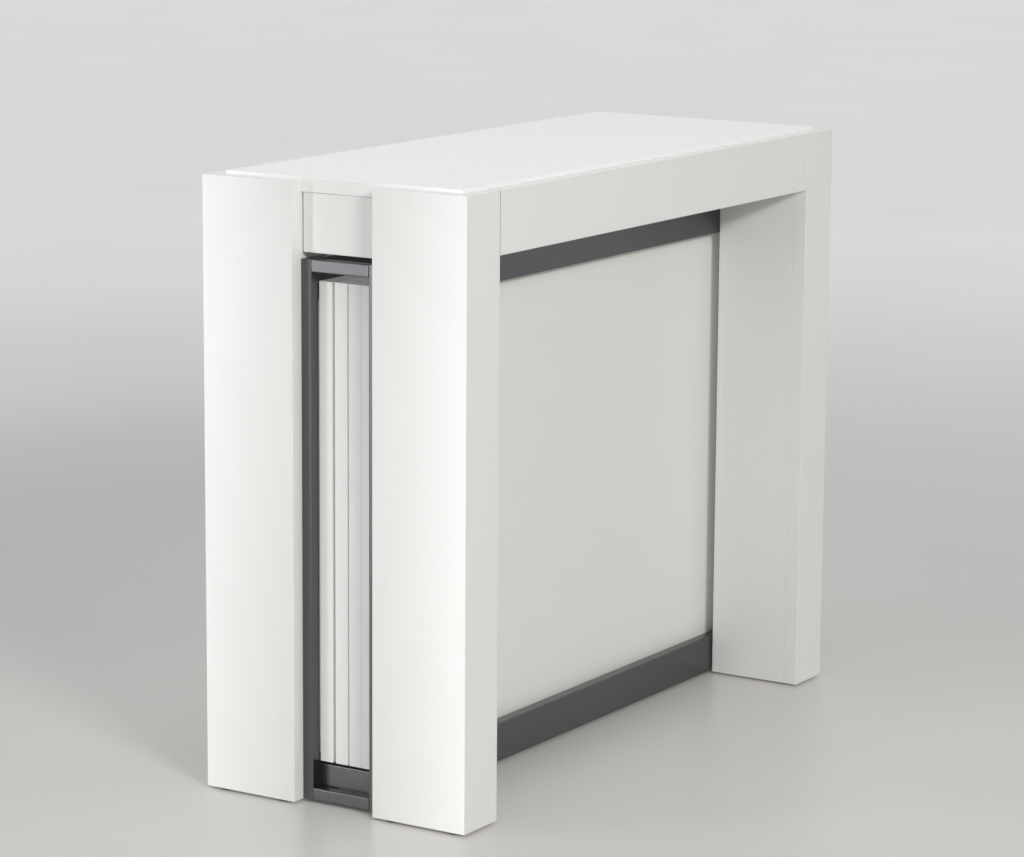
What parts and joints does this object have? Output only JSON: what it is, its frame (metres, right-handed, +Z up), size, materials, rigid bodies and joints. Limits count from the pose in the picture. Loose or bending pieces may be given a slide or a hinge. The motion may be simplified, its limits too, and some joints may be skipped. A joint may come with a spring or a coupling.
{
  "type": "extending table",
  "caption": "White lacquered console table with slab legs; its front half pulls out on telescopic rails, and a steel rack between the halves holds the leaves on edge.",
  "frame": {"origin": "on the floor under the middle of the closed table", "axes": "+X along the table to the right, +Y to the rear portal that stays put, +Z up"},
  "size_m": [0.9, 0.3762, 0.7618],
  "materials": {
    "white_lacquer": "smooth satin white lacquer on board",
    "leaf_lacquer": "smooth satin white lacquer on the leaves, a little greener",
    "anthracite_steel": "fine anthracite powder coat on steel tube",
    "rail_aluminium": "mill finish extrusion with lengthwise drawing marks",
    "glide_plastic": "matt dark grey nylon",
    "pad_rubber": "matt black rubber"
  },
  "bodies": {
    "rear_frame": {"table_top": "white_lacquer", "rear_apron": "white_lacquer", "rear_left_leg_shell": "white_lacquer", "rear_left_leg_liner": "white_lacquer", "rear_right_leg_shell": "white_lacquer", "rear_right_leg_liner": "white_lacquer", "rear_left_outer_glide": "glide_plastic", "rear_left_inner_glide": "glide_plastic", "rear_right_outer_glide": "glide_plastic", "rear_right_inner_glide": "glide_plastic", "left_fixed_rail": "rail_aluminium", "right_fixed_rail": "rail_aluminium", "rack_left_ring": "anthracite_steel", "rack_left_cross_bar": "anthracite_steel", "rack_right_ring": "anthracite_steel", "rack_right_cross_bar": "anthracite_steel", "rack_front_base_rail": "anthracite_steel", "rack_front_top_rail": "anthracite_steel", "rack_rear_base_rail": "anthracite_steel", "rack_rear_top_rail": "anthracite_steel", "rack_left_pad": "pad_rubber", "rack_right_pad": "pad_rubber", "rack_front_left_foot": "pad_rubber", "rack_front_right_foot": "pad_rubber", "rack_rear_left_foot": "pad_rubber", "rack_rear_right_foot": "pad_rubber"},
    "front_frame": {"front_apron": "white_lacquer", "front_left_leg_shell": "white_lacquer", "front_left_leg_liner": "white_lacquer", "front_right_leg_shell": "white_lacquer", "front_right_leg_liner": "white_lacquer", "front_left_outer_glide": "glide_plastic", "front_left_inner_glide": "glide_plastic", "front_right_outer_glide": "glide_plastic", "front_right_inner_glide": "glide_plastic", "left_side_cover": "white_lacquer", "right_side_cover": "white_lacquer", "left_front_rail": "rail_aluminium", "right_front_rail": "rail_aluminium"},
    "rail_stage_1": {"left_sliding_rail_1": "rail_aluminium", "right_sliding_rail_1": "rail_aluminium"},
    "rail_stage_2": {"left_sliding_rail_2": "rail_aluminium", "right_sliding_rail_2": "rail_aluminium"},
    "rail_stage_3": {"left_sliding_rail_3": "rail_aluminium", "right_sliding_rail_3": "rail_aluminium"},
    "rail_stage_4": {"left_sliding_rail_4": "rail_aluminium", "right_sliding_rail_4": "rail_aluminium"},
    "rail_stage_5": {"left_sliding_rail_5": "rail_aluminium", "right_sliding_rail_5": "rail_aluminium"},
    "rail_stage_6": {"left_sliding_rail_6": "rail_aluminium", "right_sliding_rail_6": "rail_aluminium"},
    "rail_stage_7": {"left_sliding_rail_7": "rail_aluminium", "right_sliding_rail_7": "rail_aluminium"},
    "rail_stage_8": {"left_sliding_rail_8": "rail_aluminium", "right_sliding_rail_8": "rail_aluminium"},
    "leaf_1": {"leaf_1": "leaf_lacquer"},
    "leaf_2": {"leaf_2": "leaf_lacquer"},
    "leaf_3": {"leaf_3": "leaf_lacquer"},
    "leaf_4": {"leaf_4": "leaf_lacquer"}
  },
  "joints": [
    {"name": "extension", "type": "slide", "parent": "rear_frame", "child": "front_frame", "axis": [0, -1, 0], "range_m": [0, 2.35]},
    {"name": "rail_stage_1_slide", "type": "slide", "parent": "rear_frame", "child": "rail_stage_1", "axis": [0, -1, 0], "range_m": [0, 0.2612]},
    {"name": "rail_stage_2_slide", "type": "slide", "parent": "rear_frame", "child": "rail_stage_2", "axis": [0, -1, 0], "range_m": [0, 0.5223]},
    {"name": "rail_stage_3_slide", "type": "slide", "parent": "rear_frame", "child": "rail_stage_3", "axis": [0, -1, 0], "range_m": [0, 0.7834]},
    {"name": "rail_stage_4_slide", "type": "slide", "parent": "rear_frame", "child": "rail_stage_4", "axis": [0, -1, 0], "range_m": [0, 1.0445]},
    {"name": "rail_stage_5_slide", "type": "slide", "parent": "rear_frame", "child": "rail_stage_5", "axis": [0, -1, 0], "range_m": [0, 1.3057]},
    {"name": "rail_stage_6_slide", "type": "slide", "parent": "rear_frame", "child": "rail_stage_6", "axis": [0, -1, 0], "range_m": [0, 1.5668]},
    {"name": "rail_stage_7_slide", "type": "slide", "parent": "rear_frame", "child": "rail_stage_7", "axis": [0, -1, 0], "range_m": [0, 1.8279]},
    {"name": "rail_stage_8_slide", "type": "slide", "parent": "rear_frame", "child": "rail_stage_8", "axis": [0, -1, 0], "range_m": [0, 2.089]},
    {"name": "leaf_1_slide", "type": "slide", "parent": "rear_frame", "child": "leaf_1", "axis": [-1, 0, 0], "range_m": [0, 0.8]},
    {"name": "leaf_2_slide", "type": "slide", "parent": "rear_frame", "child": "leaf_2", "axis": [-1, 0, 0], "range_m": [0, 0.8]},
    {"name": "leaf_3_slide", "type": "slide", "parent": "rear_frame", "child": "leaf_3", "axis": [-1, 0, 0], "range_m": [0, 0.8]},
    {"name": "leaf_4_slide", "type": "slide", "parent": "rear_frame", "child": "leaf_4", "axis": [-1, 0, 0], "range_m": [0, 0.8]}
  ],
  "couplings": [
    {"joint": "rail_stage_1_slide", "follows": "extension", "ratio": 0.11111},
    {"joint": "rail_stage_2_slide", "follows": "extension", "ratio": 0.22222},
    {"joint": "rail_stage_3_slide", "follows": "extension", "ratio": 0.33333},
    {"joint": "rail_stage_4_slide", "follows": "extension", "ratio": 0.44444},
    {"joint": "rail_stage_5_slide", "follows": "extension", "ratio": 0.55556},
    {"joint": "rail_stage_6_slide", "follows": "extension", "ratio": 0.66667},
    {"joint": "rail_stage_7_slide", "follows": "extension", "ratio": 0.77778},
    {"joint": "rail_stage_8_slide", "follows": "extension", "ratio": 0.88889}
  ]
}
